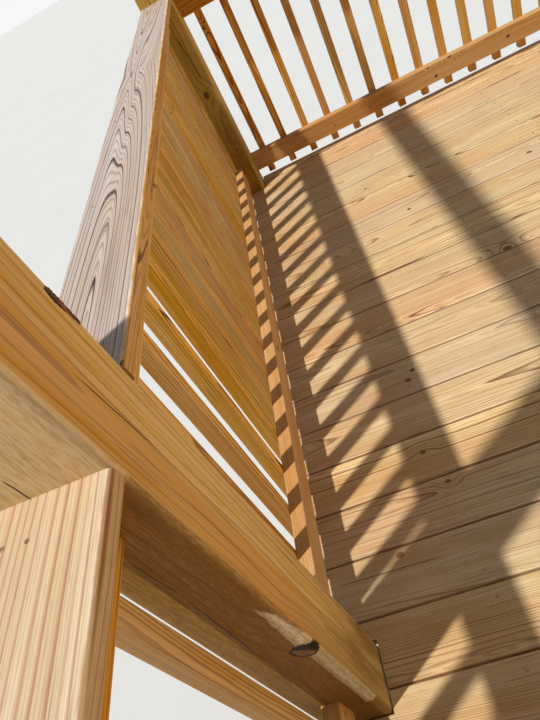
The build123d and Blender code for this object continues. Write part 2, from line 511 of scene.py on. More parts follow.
def dress_in_wood(node, lie, place, cuts, marks=()):
    """Wood for the timbers of a node, with one cut, or two for its two bays.

    place gives the coordinates in a timber as fields, and which bay it is in.
    """
    material, shader, spot = new_material(f"wood_{node}")
    facing = by_axis(material.node_tree, "ShaderNodeNewGeometry", "Normal")
    where, bay = place(spot)
    where["Edge"] = facing[lie.across].size().rises(0.6, 0.75)
    colour, height = wood_surface(lie, where, cuts[0])
    if len(cuts) > 1:
        other_colour, other_height = wood_surface(lie, where, cuts[1])
        colour = mix(bay, other_colour, colour)
        height = blend(bay, other_height, height)
    end = facing[lie.along].size().rises(0.6, 0.95)
    colour = mix(end * 0.45, colour, END_COLOUR)
    for mark in marks:
        shown, paint, depth = mark(spot, facing)
        colour = mix(shown, colour, paint)
        height = height - shown * depth
    plug(shader, {
        "Base Color": colour,
        "Roughness": height * ROUGHNESS_RANGE + ROUGHNESS,
        "Specular IOR Level": GLOSS,
        "Normal": relief(height, GRAIN_RELIEF, RELIEF_STRENGTH),
    })
    dress(node, material)


# Where a point lies in its timber


def single(lie, node, seed):
    """Coordinates of one straight timber, or of two end to end."""
    middle = dict(zip(AXES, centre_of(node)))

    def place(spot):
        bay = spot[lie.along].rises(-0.001, 0.001)
        where = {
            "Along": spot[lie.along],
            "Across": spot[lie.across] - middle[lie.across],
            "Depth": spot[lie.depth] - middle[lie.depth],
            "Seed": bay * 3.0 + seed,
        }
        return where, bay

    return place


def row(lie, counted, first, pitch, node, seed, mirrored=False):
    """Coordinates of like timbers set out at a pitch along the counted axis.

    first is the centre of the first timber, counted from the middle if mirrored.
    """
    middle = dict(zip(AXES, centre_of(node)))

    def place(spot):
        side = spot[counted].rises(-0.001, 0.001)
        distance = spot[counted].size() if mirrored else spot[counted]
        number = ((distance - first) / pitch + 0.5).floor()
        where = {"Along": spot[lie.along], "Seed": number + side * 61.0 * mirrored + seed}
        for key, axis in (("Across", lie.across), ("Depth", lie.depth)):
            if axis == counted:
                where[key] = distance - number * pitch - first
            else:
                where[key] = spot[axis] - middle[axis]
        return where, side

    return place


def centre_of(node):
    low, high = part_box(node)
    return (low + high) / 2


def dress(node, material):
    """Give a node of the model its material."""
    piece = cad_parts[node]
    piece.data.materials.clear()
    piece.data.materials.append(material)


# Marks at known places


CRACK_COLOUR = rgb(60, 32, 10)
HOLE_SHADE_COLOUR = rgb(18, 8, 4)
PLUG_COLOUR = rgb(150, 112, 80)
# Pale paint for painted sunlight on posts, and for edges that are partly worn and partly painted
# highlight
PALE_LIGHT_AND_WEAR_COLOUR = rgb(248, 226, 182)
SCREW_RING_COLOUR = rgb(120, 84, 50)
RAILING_SHADE_COLOUR = rgb(176, 124, 62)
FOOT_COLOUR = rgb(130, 84, 24)
# Painted shade on the house face of the foreground post below the cap
PAINTED_SHADE_COLOUR = rgb(116, 84, 8)

OPEN_KNOT_X = -2.3885
OPEN_KNOT_Z = 2.624
OPEN_KNOT_RADIUS = 0.024
OPEN_KNOT_DEPTH = 0.012
FOOT_FADE = (2.34, 2.80)  # heights where the browner foot starts to fade and ends
RAILING_SHADE_MARGIN = (1.9, 2.3)  # distances from the middle of the deck


# Faces, as the axis that they look along, which way, and the axes along and across them
HOUSE_FACE = ("Y", -1, "Z", "X")
DECK_FACE = ("X", 1, "Z", "Y")
TOP_FACE = ("Z", 1, "X", "Y")


def crack(face, start, end, width):
    """A thin crack between two points, each given along and across a face."""
    axis, way, along, across = face

    def mark(spot, facing):
        share = (spot[along] - start[0]) / (end[0] - start[0])
        bend = noise(spot[along] * 45.0, start[0] * 9.0, start[1] * 9.0, 3.0) - 0.5
        off = (spot[across] - blend(share, start[1], end[1]) + bend * 0.004).size()
        taper = (share - 0.5).size().falls(0.3, 0.5)
        here = (facing[axis] * way).rises(0.7, 0.9)
        return off.falls(width * 0.4, width) * taper * here, CRACK_COLOUR, 2.0

    return mark


def open_knot(spot, facing):
    """A loose knot hole at the edge of the foreground post, with painted shade in its upper part and
    its lit floor below.
    """
    x, z = spot["X"] - OPEN_KNOT_X, spot["Z"] - OPEN_KNOT_Z
    upward = x * 0.657 + z * 0.754
    ragged = speckle(spot, 150.0, 4.0, 0.6) - 0.5
    away = x.length_with(z * 0.92) / OPEN_KNOT_RADIUS + ragged * 0.55
    inward = (spot["Y"] + HALF_POST).falls(OPEN_KNOT_DEPTH / 2, OPEN_KNOT_DEPTH)
    shown = away.falls(0.9, 1.02) * inward
    # Painted shade in the upper part of the hole; the lower part keeps the colour of its lit floor
    dark = (upward + ragged * 0.02).rises(-0.006, 0.004).higher(away.rises(0.74, 0.86))
    return shown, mix(dark, PLUG_COLOUR, HOLE_SHADE_COLOUR), 1.5


def patch(face, corners, strength, paint=PALE_LIGHT_AND_WEAR_COLOUR):
    """A patch of painted sunlight on a face of a post, or of painted shade where a dark paint is
    given, with its corners in order.

    Each corner is given along and across the face, and the patch lies to their left.
    """
    axis, way, along, across = face

    def mark(spot, facing):
        ragged = (speckle(spot, 60.0, 3.0) - 0.5) * 0.006
        inside = None
        for corner, after in zip(corners, corners[1:] + corners[:1]):
            way_along, way_across = after[0] - corner[0], after[1] - corner[1]
            reach = math.hypot(way_along, way_across)
            over = (spot[across] - corner[1]) * (way_along / reach)
            over = over - (spot[along] - corner[0]) * (way_across / reach)
            inside = over if inside is None else inside.lower(over)
        lines = noise(spot["X"] * 420.0, spot["Y"] * 420.0, spot["Z"] * 60.0, 2.0)
        lines = lines.rises(0.35, 0.6)
        here = (facing[axis] * way).rises(0.1, 0.4)
        shown = (inside + ragged).rises(0.0, 0.003) * here * (lines * 0.5 + 0.5)
        return shown * strength, paint, 0.2

    return mark


def worn_and_highlit_edge(x, y, span, width):
    """A pale strip along an upright edge of a post, from one height to another: partly wear, partly a
    painted highlight where the rounded edge catches light.
    """

    def mark(spot, facing):
        ragged = noise(spot["Z"] * 14.0, x, y, 3.0)
        away = (spot["X"] - x).length_with(spot["Y"] - y) - ragged * width
        shown = away.falls(0.0, width * 0.5) * spot["Z"].between(*span, 0.03)
        return shown * 0.6, PALE_LIGHT_AND_WEAR_COLOUR, 0.2

    return mark


def scatter_angle(board, joist, side):
    """An angle that differs from screw to screw; its sine says how far it is off its line."""
    return board * 2.3 + joist * 4.1 + side * 1.7


def screw_crush_and_shade(spot, facing):
    """A darker ring on the deck boards round each screw: partly crushed wood, partly painted shade
    where the sunk hole lies in shade.
    """
    board = ((spot["Y"] - BOARD_JOINT) / BOARD_PITCH).floor()
    across = spot["Y"] - (board + 0.5) * BOARD_PITCH - BOARD_JOINT
    joist = (spot["X"] / JOIST_SPACING + 0.5).floor()
    side = across.sign()
    beyond = joist.size().rises(JOISTS_EACH_SIDE + 0.4, JOISTS_EACH_SIDE + 0.6)
    too_far = (JOISTS_EACH_SIDE + 1) * JOIST_SPACING - RIM_LINE
    line = joist * JOIST_SPACING - joist.sign() * beyond * too_far
    scatter = scatter_angle(board, joist, side).math("SINE") * SCREW_SCATTER
    away = (spot["X"] - line - scatter).length_with(across.size() - SCREW_LINE)
    return away.falls(0.003, 0.0065) * 0.22, SCREW_RING_COLOUR, 0.5


def browner_foot(spot, facing):
    """A post is browner just above the deck, in clouds that fade out upwards."""
    cloud = noise(spot["X"] * 20.0, spot["Y"] * 20.0, spot["Z"] * 4.0, 3.0).rises(0.2, 0.7)
    above = spot["Z"].rises(DECK_TOP - 0.01, DECK_TOP) * spot["Z"].falls(*FOOT_FADE)
    return above * cloud * 0.85, FOOT_COLOUR, 0.0


def railing_shade(spot, facing):
    """Painted shade and warm painted reflection: the deck boards are drawn darker and browner along
    the side railings.
    """
    cloud = noise(spot["X"] * 5.0, spot["Y"] * 9.0, 2.0, 3.0).rises(0.25, 0.7)
    return spot["X"].size().rises(*RAILING_SHADE_MARGIN) * cloud * 0.4, RAILING_SHADE_COLOUR, 0.0


# What each node is made of


def ring_between(low, high):
    """A ring width that differs from timber to timber."""

    def width(where):
        seed = where["Seed"]
        return chances(seed, 21.0)[0] * (high - low) + low

    return width


OLD_RING = 0.0063
OLD_OUTER_RING = 0.0032  # added on the outer side of the pith
OLD_SIDE_RING = 0.0021
NEW_RING = 0.0105
NEW_SIDE_RING = 0.0028


def old_cap_ring(where):
    """Wider rings on the outer side of the pith, and close ones on the narrow faces."""
    top = where["Across"].falls(-0.035, -0.002) * OLD_OUTER_RING + OLD_RING
    return blend(where["Edge"], top, OLD_SIDE_RING)


def new_cap_ring(where):
    return blend(where["Edge"], NEW_RING, NEW_SIDE_RING)


def old_cap_pith(where):
    """The pith dips away from the top face up to a bend in the log, then comes back."""
    along = where["Along"].size()
    down = (along - 0.279) * 0.054
    up = (along - 1.37) * -0.029 + 0.0589
    return -(down.lower(up)) + (CAP_THICKNESS / 2 - OLD_RING)


def deck_knot(x, y, radius):
    """A knot at a place of the deck, as the boards count it."""
    board = math.floor((y - BOARD_JOINT) / BOARD_PITCH)
    across = y - BOARD_JOINT - (board + 0.5) * BOARD_PITCH
    return x, across, radius, False, DECK_SEED + board


def wide_face_knot(middle, along, across, radius):
    """A knot on the wide face of a timber whose middle line is given."""
    return along, across - middle, radius, False, None


# Each timber's grain follows from its seed, and no two groups of timbers share one
POST_SEED = 11.0
DECK_SEED = 200.0
BOTTOM_RAIL_SEED = 300.0
TOP_RAIL_SEED = 309.0
CAP_SEED = 400.0
SIDE_STEP = 20
BALUSTER_SEED = 500.0
BALUSTER_STEP = 200
FAR_SEED = BALUSTER_SEED + 2 * BALUSTER_STEP
PLANK_SEED = 1200.0
PLANK_STEP = 9
JOIST_SEED = 1500.0

# Knots that show, each with its place along and across, and its radius
DECK_SPOTS = [
    (-1.613, 1.141, 0.012), (-1.319, 1.624, 0.009), (-1.8125, 1.609, 0.007), (-2.082, 0.752, 0.008),
    (-2.059, 0.784, 0.007), (-2.120, 0.493, 0.007), (-2.089, 0.386, 0.006), (-2.260, 0.241, 0.008),
]
CAP_SPOTS = [(0.076, -2.3700, 0.0045), (0.084, -2.3610, 0.0040)]
RAIL_SPOTS = [
    (-1.387, 2.293, 0.007), (-1.3075, 2.352, 0.009), (-1.028, 2.310, 0.008),
    (-1.415, 2.346, 0.004), (-1.728, 2.302, 0.004), (-1.918, 2.300, 0.004),
]
DECK_KNOTS = [deck_knot(*spot) for spot in DECK_SPOTS]
CAP_KNOTS = [wide_face_knot(centre_of("left_rail_cap").x, *spot) for spot in CAP_SPOTS]
RAIL_KNOTS = [wide_face_knot(centre_of("far_bottom_rail").z, *spot) for spot in RAIL_SPOTS]
BALUSTER_KNOTS = [(2.961, 0.008, 0.006, False, FAR_SEED)]
POST_RINGS = dict(
    Ring=0.015, Early=0.64, Fine=0.05, PithDepth=-0.015, Spread=0.5, Waver=3.2, TiltDepth=0.03
)
POST_KNOTS = {
    "left_middle_post": [(2.624, 0.0495, 0.022, True, None), (2.624, -0.086, 0.022, False, None)],
    "left_far_post": [(2.739, 0.018, 0.014, True, None), (2.445, 0.031, 0.007, True, None)],
}
# Painted sunlight on the house face of the foreground post: a pale patch above the open knot, a strip
# along the edge below it, and the whole face above the cap drawn paler
UPPER_SUNLIT_PATCH = [
    (2.766, -2.3725), (2.640, -2.3660), (2.640, -2.3970), (2.700, -2.3950), (2.807, -2.3925)
]
LOWER_SUNLIT_PATCH = [(2.620, -2.366), (2.310, -2.366), (2.310, -2.390), (2.600, -2.394)]
SUNLIT_ABOVE_CAP = [(4.650, -2.350), (3.130, -2.350), (3.130, -2.520), (4.650, -2.520)]
# Painted shade: the house face of the foreground post below the cap is drawn darker olive brown,
# where the cap and rail shade it
SHADED_BELOW_CAP = [(3.125, -2.350), (2.150, -2.350), (2.150, -2.520), (3.125, -2.520)]
POST_MARKS = {
    "left_middle_post": [
        patch(HOUSE_FACE, SUNLIT_ABOVE_CAP, 0.5),
        patch(HOUSE_FACE, SHADED_BELOW_CAP, 0.6, PAINTED_SHADE_COLOUR),
        patch(HOUSE_FACE, UPPER_SUNLIT_PATCH, 0.9),
        patch(HOUSE_FACE, LOWER_SUNLIT_PATCH, 0.6),
        crack(DECK_FACE, (3.228, -0.0071), (3.075, 0.0016), 0.0011),
        crack(DECK_FACE, (2.270, 0.0488), (2.222, 0.0480), 0.0012),
        crack(HOUSE_FACE, (3.192, -2.4625), (3.148, -2.4600), 0.0012),
        crack(HOUSE_FACE, (3.008, -2.4532), (2.898, -2.4473), 0.0012),
        crack(HOUSE_FACE, (2.898, -2.4473), (2.643, -2.4534), 0.0014),
        worn_and_highlit_edge(-INNER_FACE, HALF_POST, (2.25, 3.20), 0.010),
        open_knot,
    ],
    "left_far_post": [crack(HOUSE_FACE, (3.017, -2.423), (2.790, -2.405), 0.0026)],
}


def dress_posts():
    lie = Lie("Z", "Y", "X", 2 * HALF_POST, 2 * HALF_POST)
    for number, node in enumerate(sorted(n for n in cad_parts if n.endswith("_post"))):
        look = FRAME_LOOK if node == "under_deck_post" else POST_LOOK
        chance = 0.0 if node in POST_KNOTS else 0.45
        cut = Cut(look, POST_KNOTS.get(node, ()), KnotChance=chance, **POST_RINGS)
        place = single(lie, node, POST_SEED + 7 * number)
        marks = [browner_foot, *POST_MARKS.get(node, ())]
        dress_in_wood(node, lie, place, [cut], marks)


def dress_deck():
    lie = Lie("X", "Y", "Z", BOARD_WIDTH, BOARD_THICKNESS)
    place = row(lie, "Y", BOARD_JOINT + BOARD_PITCH / 2, BOARD_PITCH, "deck_boards", DECK_SEED)
    cut = Cut(
        DECK_LOOK, DECK_KNOTS, Ring=ring_between(0.0024, 0.0058), Early=0.62,
        PithDepth=-0.055, KnotStep=1.1, KnotChance=0.25,
    )
    long_crack = crack(TOP_FACE, (-2.447, 0.214), (-2.149, 0.206), 0.0011)
    marks = [railing_shade, screw_crush_and_shade, long_crack]
    dress_in_wood("deck_boards", lie, place, [cut], marks)


def dress_rail(node, along, inward, seed, knots=()):
    """Wood for the two lengths of a top or bottom rail."""
    lie = Lie(along, "Z", inward, RAIL_DEPTH, PLANK)
    chance = 0.0 if knots else 0.3
    cut = Cut(RAIL_LOOK, knots, Ring=0.0052, PithDepth=-0.05, KnotChance=chance, TiltDepth=0.008)
    dress_in_wood(node, lie, single(lie, node, seed), [cut])


def dress_cap(node, along, inward, seed):
    """Wood for the two lengths of a cap, one of them of fresh wood on the left side."""
    lie = Lie(along, inward, "Z", CAP_WIDTH, CAP_THICKNESS)
    left = node == "left_rail_cap"
    old = Cut(
        OLD_CAP_LOOK,
        CAP_KNOTS if left else (),
        side_look=OLD_SIDE_LOOK,
        Ring=old_cap_ring, Early=0.74, Fine=0.35, PithAcross=-0.0045, PithDepth=old_cap_pith,
        Spread=0.0 if left else 0.2, Waver=0.25, KnotChance=0.0,
    )
    new = Cut(
        NEW_CAP_LOOK,
        side_look=NEW_SIDE_LOOK,
        Ring=new_cap_ring, Early=0.5, Fine=0.3, PithAcross=-0.17, PithDepth=-0.07,
        Spread=0.0, Waver=0.9, KnotChance=0.0,
    )
    cuts = [old, new] if left else [old]
    dress_in_wood(node, lie, single(lie, node, seed), cuts)


def dress_balusters(node, along, inward, first, pitch, seed, knots=()):
    lie = Lie("Z", along, inward, BALUSTER_SIDE, BALUSTER_SIDE)
    cut = Cut(
        BALUSTER_LOOK, knots, Ring=ring_between(0.0017, 0.0038), Fine=0.0,
        PithDepth=-0.06, Spread=0.6, KnotStep=0.9, KnotChance=0.1,
    )
    dress_in_wood(node, lie, row(lie, along, first, pitch, node, seed, mirrored=True), [cut])


def dress_railings():
    for number, side in enumerate(SIDES):
        along, inward = ("X", "Y") if side == "far" else ("Y", "X")
        first = HALF_POST + SIDE_FIRST_GAP + BALUSTER_SIDE / 2
        pitch = BALUSTER_PITCH
        on_rail, on_balusters = (), ()
        if side == "far":
            first = INNER_FACE - FAR_FIRST_GAP - BALUSTER_SIDE / 2
            pitch = -BALUSTER_PITCH
            on_rail, on_balusters = RAIL_KNOTS, BALUSTER_KNOTS
        step = SIDE_STEP * number
        dress_rail(f"{side}_bottom_rail", along, inward, BOTTOM_RAIL_SEED + step, on_rail)
        dress_rail(f"{side}_top_rail", along, inward, TOP_RAIL_SEED + step)
        dress_cap(f"{side}_rail_cap", along, inward, CAP_SEED + step)
        seed = BALUSTER_SEED + BALUSTER_STEP * number
        dress_balusters(f"{side}_balusters", along, inward, first, pitch, seed, on_balusters)


def plank_nodes():
    """The planks of the frame and the headers, by the axis that they lie along."""
    beams = [f"{name}_beam_{side}_plank" for name in ("middle", "far") for side in ("front", "back")]
    headers = {side: [f"{side}_header_{part}_plank" for part in ("inner", "outer")] for side in SIDES}
    return {
        "X": [*beams, *headers["far"], "ledger", "far_rim_joist"],
        "Y": ["left_rim_joist", "right_rim_joist", *headers["left"], *headers["right"]],
    }


def dress_framing():
    seed = PLANK_SEED
    for along, nodes in plank_nodes().items():
        for node in nodes:
            low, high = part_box(node)
            lie = Lie(along, "Z", "Y" if along == "X" else "X", high.z - low.z, PLANK)
            look = POST_LOOK if "header" in node else FRAME_LOOK
            cut = Cut(look, Ring=0.0065, KnotStep=0.55, KnotChance=0.5)
            dress_in_wood(node, lie, single(lie, node, seed), [cut])
            seed += PLANK_STEP
    low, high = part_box("joists")
    lie = Lie("Y", "Z", "X", high.z - low.z, PLANK)
    cut = Cut(FRAME_LOOK, KnotChance=0.5)
    place = row(lie, "X", 0.0, JOIST_SPACING, "joists", JOIST_SEED)
    dress_in_wood("joists", lie, place, [cut])


def galvanised():
    """Zinc-coated steel with faint crystals."""
    material, shader, spot = new_material("galvanised_steel")
    place = vector(*(spot[axis] * 140.0 for axis in AXES))
    cells = made("ShaderNodeTexVoronoi", {"Vector": place, "Scale": 1.0}, "Color")
    shade = made("ShaderNodeSeparateColor", {0: cells})
    dull = speckle(spot, 18.0, 4.0)
    colour = mix(shade * 0.6 + dull * 0.4, rgb(136, 140, 143), rgb(186, 190, 192))
    rough = shade * 0.15 + dull * 0.2 + 0.3
    bumps = relief(dull + shade * 0.3, 0.0002, 0.4)
    plug(shader, {"Base Color": colour, "Metallic": 0.85, "Roughness": rough, "Normal": bumps})
    return material


def coated_steel():
    """The tan coating of outdoor screws, rubbed and dirty in places."""
    material, shader, spot = new_material("coated_steel")
    dirt = speckle(spot, 260.0, 3.0)
    batch = speckle(spot, 3.0, 1.0)
    colour = mix(dirt.rises(0.35, 0.65), rgb(116, 88, 60), rgb(184, 148, 104))
    colour = tinted(colour, 0.5, 0.9, (batch - 0.5) * 0.6 + 1.0)
    rough = dirt * 0.3 + 0.35
    bumps = relief(dirt, 0.0002, 0.5)
    plug(shader, {"Base Color": colour, "Metallic": 0.45, "Roughness": rough, "Normal": bumps})
    return material


def bark():
    material, shader, spot = new_material("bark")
    flakes = noise(spot["X"] * 160.0, spot["Y"] * 160.0, spot["Z"] * 60.0, 4.0, 0.6)
    colour = mix(flakes.rises(0.35, 0.65), rgb(74, 36, 20), rgb(150, 92, 50))
    # Painted shade: the inner side of the strip is near black, where the crack between bark and wood
    # lies in shade
    inner = (spot["Y"] + flakes * 0.004).falls(0.0585, 0.0605)
    colour = mix(inner, colour, rgb(34, 14, 6))
    rough = flakes * 0.2 + 0.75
    bumps = relief(flakes, 0.002, 0.9)
    plug(shader, {"Base Color": colour, "Roughness": rough, "Normal": bumps})
    return material


# Fastenings, joined into one mesh for each kind


# Rings of each head, as shares of its radius and heights over the surface
SCREW_PROFILE = [(1.0, -0.0002), (1.0, 0.0003), (0.9, 0.0006), (0.47, 0.0006), (0.38, 0.0001)]
NAIL_PROFILE = [(1.0, -0.0002), (1.0, 0.0005), (0.7, 0.0009)]
HEX_PROFILE = [(1.0, 0.002), (1.0, 0.0072), (0.86, 0.0082)]
WASHER_PROFILE = [(1.0, -0.0002), (1.0, 0.0017), (0.96, 0.0021)]

# Radii of the heads
SCREW_HEAD = 0.0042
DECK_SCREW_HEAD = 0.0036
CAP_SCREW_HEAD = 0.003
NAIL_HEAD = 0.004
HEX_HEAD = 0.0104
WASHER = 0.0175

# Where they sit
POST_CLEARANCE = 0.012
CAP_SCREW_INSET = 0.048  # from the end of a cap
CAP_SCREW_SPACING = 0.42
CAP_SCREW_ROWS = (0.003, 0.0315)  # outwards from the middle of the rail
CAP_SCREW_SKEW = 0.05
SCREW_STAGGER = 0.014
RAIL_END_INSET = 0.016
RAIL_END_STEPS = (-0.022, 0.02)
BOLT_STEPS = (-0.028, 0.028)
BOLT_LEVELS = (0.27, 0.73)  # as shares of the beam's depth
LEDGER_BOLT_LEVELS = (0.7, 0.3)
FLANGE_NAIL_LINE = 0.037  # from the middle of the joist
FLANGE_NAIL_LEVELS = (0.02, 0.06, 0.10)
SEAT_NAIL_DEPTH = 0.028
SEAT_NAIL_LEVELS = (0.045, 0.085)
HEADER_NAIL_LEVELS = (0.16, 0.84)
# Pairs of nails on each side of the middle, their spacing, and the shifts of upper and inner ones
SIDE_NAILS = (6, 0.4, 0.02, 0.2)
FAR_NAILS = (5, 0.44, 0.0, 0.03)
RIM_NAIL_LEVELS = (0.2, 0.5, 0.8)

UP = (0, 0, 1)


def head(place, outward, radius, profile, sides, star=1.0):
    """Points and faces of a turned head that sits on a surface.

    star makes every other corner of the inner rings smaller, as in a star recess.
    """
    turn = Vector(outward).to_track_quat("Z", "X").to_matrix()
    points = []
    for level, (share, height) in enumerate(profile):
        inner = share < 0.5
        for side in range(sides):
            angle = 2 * math.pi * side / sides
            reach = radius * share * (star if inner and side % 2 else 1.0)
            local = Vector((reach * math.cos(angle), reach * math.sin(angle), height))
            points.append(Vector(place) + turn @ local)
    faces = []
    for level in range(len(profile) - 1):
        for side in range(sides):
            after = (side + 1) % sides
            low, high = level * sides, (level + 1) * sides
            faces.append([low + side, low + after, high + after, high + side])
    last = (len(profile) - 1) * sides
    faces.append(list(range(last, last + sides)))
    return points, faces


def screw(place, outward, radius=SCREW_HEAD):
    return head(place, outward, radius, SCREW_PROFILE, 12, 0.68)


def nail(place, outward):
    return head(place, outward, NAIL_HEAD, NAIL_PROFILE, 10)


def placed(name, data):
    thing = bpy.data.objects.new(name, data)
    bpy.context.scene.collection.objects.link(thing)
    return thing


def joined(name, shapes, material):
    """One object made of many small shapes."""
    points, faces = [], []
    for shape_points, shape_faces in shapes:
        start = len(points)
        points += shape_points
        faces += [[start + corner for corner in face] for face in shape_faces]
    mesh = bpy.data.meshes.new(name)
    mesh.from_pydata(points, [], faces)
    mesh.materials.append(material)
    piece = placed(name, mesh)
    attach(piece, "root")


def face_of(node, axis, way):
    """Where the face of a node that looks along an axis, or back, is on that axis."""
    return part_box(node)[1 if way > 0 else 0][axis]


def level_on(node, share):
    """The height at a share of a plank's depth."""
    low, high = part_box(node)
    return low.z + (high.z - low.z) * share


def at_side(axis, out, along, height):
    """A point or direction from its parts across and along a side of the deck."""
    return (out, along, height) if axis == 0 else (along, out, height)


def on_post(x, y):
    """Whether a deck screw would meet a post here."""
    reach = HALF_POST + POST_CLEARANCE
    return any(max(abs(x - place[0]), abs(y - place[1])) < reach for place in POST_PLACES)


def deck_screws():
    """Two screws where each board crosses a joist or a rim, but none where a post stands."""
    lines = {joist: joist * JOIST_SPACING for joist in JOISTS}
    lines[-JOISTS_EACH_SIDE - 1] = -RIM_LINE
    lines[JOISTS_EACH_SIDE + 1] = RIM_LINE
    shapes = []
    for board in BOARD_ROWS:
        middle = BOARD_JOINT + (board + 0.5) * BOARD_PITCH
        for joist, line in lines.items():
            for side in (-1, 1):
                x = line + math.sin(scatter_angle(board, joist, side)) * SCREW_SCATTER
                y = middle + side * SCREW_LINE
                if on_post(x, y) or y > EDGE - 0.01:
                    continue
                shapes.append(screw((x, y, DECK_TOP), UP, DECK_SCREW_HEAD))
    return shapes


def cap_screw_stations():
    """Distances of the cap screws from the middle of a side, evenly between two posts."""
    low, high = HALF_POST + CAP_SCREW_INSET, INNER_FACE - CAP_SCREW_INSET
    count = round((high - low) / CAP_SCREW_SPACING)
    return [low + (high - low) * step / count for step in range(count + 1)]


def cap_screws():
    """Pairs of screws through each cap into its top rail."""
    shapes = []
    for side, (axis, way) in SIDES.items():
        rail = centre_of(f"{side}_top_rail")
        for distance in cap_screw_stations():
            for bay in (-1, 1):
                for step in CAP_SCREW_ROWS:
                    along = bay * distance + step * CAP_SCREW_SKEW
                    place = at_side(axis, rail[axis] + way * step, along, CAP_TOP)
                    shapes.append(screw(place, UP, CAP_SCREW_HEAD))
    return shapes


def baluster_lines(first_gap):
    """Distances of the balusters from the post where their row starts."""
    line = first_gap + BALUSTER_SIDE / 2
    lines = []
    while line + BALUSTER_SIDE / 2 < INNER_FACE - HALF_POST:
        lines.append(line)
        line += BALUSTER_PITCH
    return lines


def railing_screws():
    """Screws from outside through each baluster into the rails, and at the rails' ends."""
    side_lines = [HALF_POST + line for line in baluster_lines(SIDE_FIRST_GAP)]
    far_lines = [INNER_FACE - line for line in baluster_lines(FAR_FIRST_GAP)]
    ends = [HALF_POST + RAIL_END_INSET, INNER_FACE - RAIL_END_INSET]
    shapes = []
    for number, rail in enumerate(("bottom_rail", "top_rail")):
        for side, (axis, way) in SIDES.items():
            middle = level_on(f"{side}_{rail}", 0.5)
            outer = face_of(f"{side}_balusters", axis, way)
            inner = face_of(f"{side}_{rail}", axis, -way)
            outward, inward = at_side(axis, way, 0, 0), at_side(axis, -way, 0, 0)
            for bay in (-1, 1):
                for count, line in enumerate(far_lines if side == "far" else side_lines):
                    stagger = SCREW_STAGGER * (1 if (count + number) % 2 else -1)
                    place = at_side(axis, outer, bay * line, middle + stagger)
                    shapes.append(screw(place, outward))
                for end in ends:
                    for step in RAIL_END_STEPS:
                        place = at_side(axis, inner, bay * end, middle + step)
                        shapes.append(screw(place, inward))
    return shapes


def bolt(place, outward):
    """A hexagonal head on a washer."""
    washer = head(place, outward, WASHER, WASHER_PROFILE, 24)
    return [washer, head(place, outward, HEX_HEAD, HEX_PROFILE, 6)]


def frame_bolts():
    """Bolts through the beams and posts, and along the ledger."""
    shapes = []
    for name in ("middle", "far"):
        plank = f"{name}_beam_front_plank"
        post_side = HALF_POST if name == "middle" else EDGE
        for x in (-POST_PITCH, 0.0, POST_PITCH):
            for step, share in zip(BOLT_STEPS, BOLT_LEVELS):
                z = level_on(plank, share)
                shapes += bolt((x + step, face_of(plank, 1, -1), z), (0, -1, 0))
                shapes += bolt((x + step, post_side, z), (0, 1, 0))
    for step in range(-JOISTS_EACH_SIDE, JOISTS_EACH_SIDE):
        x = (step + 0.5) * JOIST_SPACING
        z = level_on("ledger", LEDGER_BOLT_LEVELS[step % 2])
        shapes += bolt((x, face_of("ledger", 1, 1), z), (0, 1, 0))
    return shapes


def hanger_nails():
    """Nails through the flanges and sides of the joist hangers."""
    bottom = face_of("joist_hangers", 2, -1)
    ledger_face = face_of("ledger", 1, 1)
    shapes = []
    for step in JOISTS:
        x = step * JOIST_SPACING
        for side in (-1, 1):
            for level in FLANGE_NAIL_LEVELS:
                place = (x + side * FLANGE_NAIL_LINE, ledger_face + HANGER_SHEET, bottom + level)
                shapes.append(nail(place, (0, 1, 0)))
            for level in SEAT_NAIL_LEVELS:
                face = x + side * (PLANK / 2 + HANGER_SHEET)
                place = (face, ledger_face + SEAT_NAIL_DEPTH, bottom + level)
                shapes.append(nail(place, (side, 0, 0)))
    return shapes


def header_nails():
    """Nails from both sides that hold the two planks of each header together."""
    shapes = []
    for side, (axis, way) in SIDES.items():
        last, spacing, upper_shift, inner_shift = FAR_NAILS if side == "far" else SIDE_NAILS
        plank = f"{side}_header_outer_plank"
        outer = face_of(plank, axis, way)
        inner = face_of(f"{side}_header_inner_plank", axis, -way)
        for step in range(-last, last + 1):
            for share in HEADER_NAIL_LEVELS:
                z = level_on(plank, share)
                along = step * spacing + (upper_shift if share > 0.5 else 0.0)
                behind = along + inner_shift if step < SIDE_NAILS[0] else along
                shapes.append(nail(at_side(axis, outer, along, z), at_side(axis, way, 0, 0)))
                shapes.append(nail(at_side(axis, inner, behind, z), at_side(axis, -way, 0, 0)))
    return shapes


def rim_nails():
    """Nails through the far rim into the joists, but none where the middle one meets a post."""
    face = face_of("far_rim_joist", 1, 1)
    shapes = []
    for step in JOISTS:
        if step == 0:
            continue
        for share in RIM_NAIL_LEVELS:
            x = step * JOIST_SPACING + (share - 0.5) * 0.012
            shapes.append(nail((x, face, level_on("far_rim_joist", share)), (0, 1, 0)))
    return shapes


BARK_BOTTOM = 3.228
BARK_HEIGHT = 0.055
BARK_NEAR = 0.0545
BARK_FAR = 0.0665
BARK_ROWS = 40
BARK_COLUMNS = 8


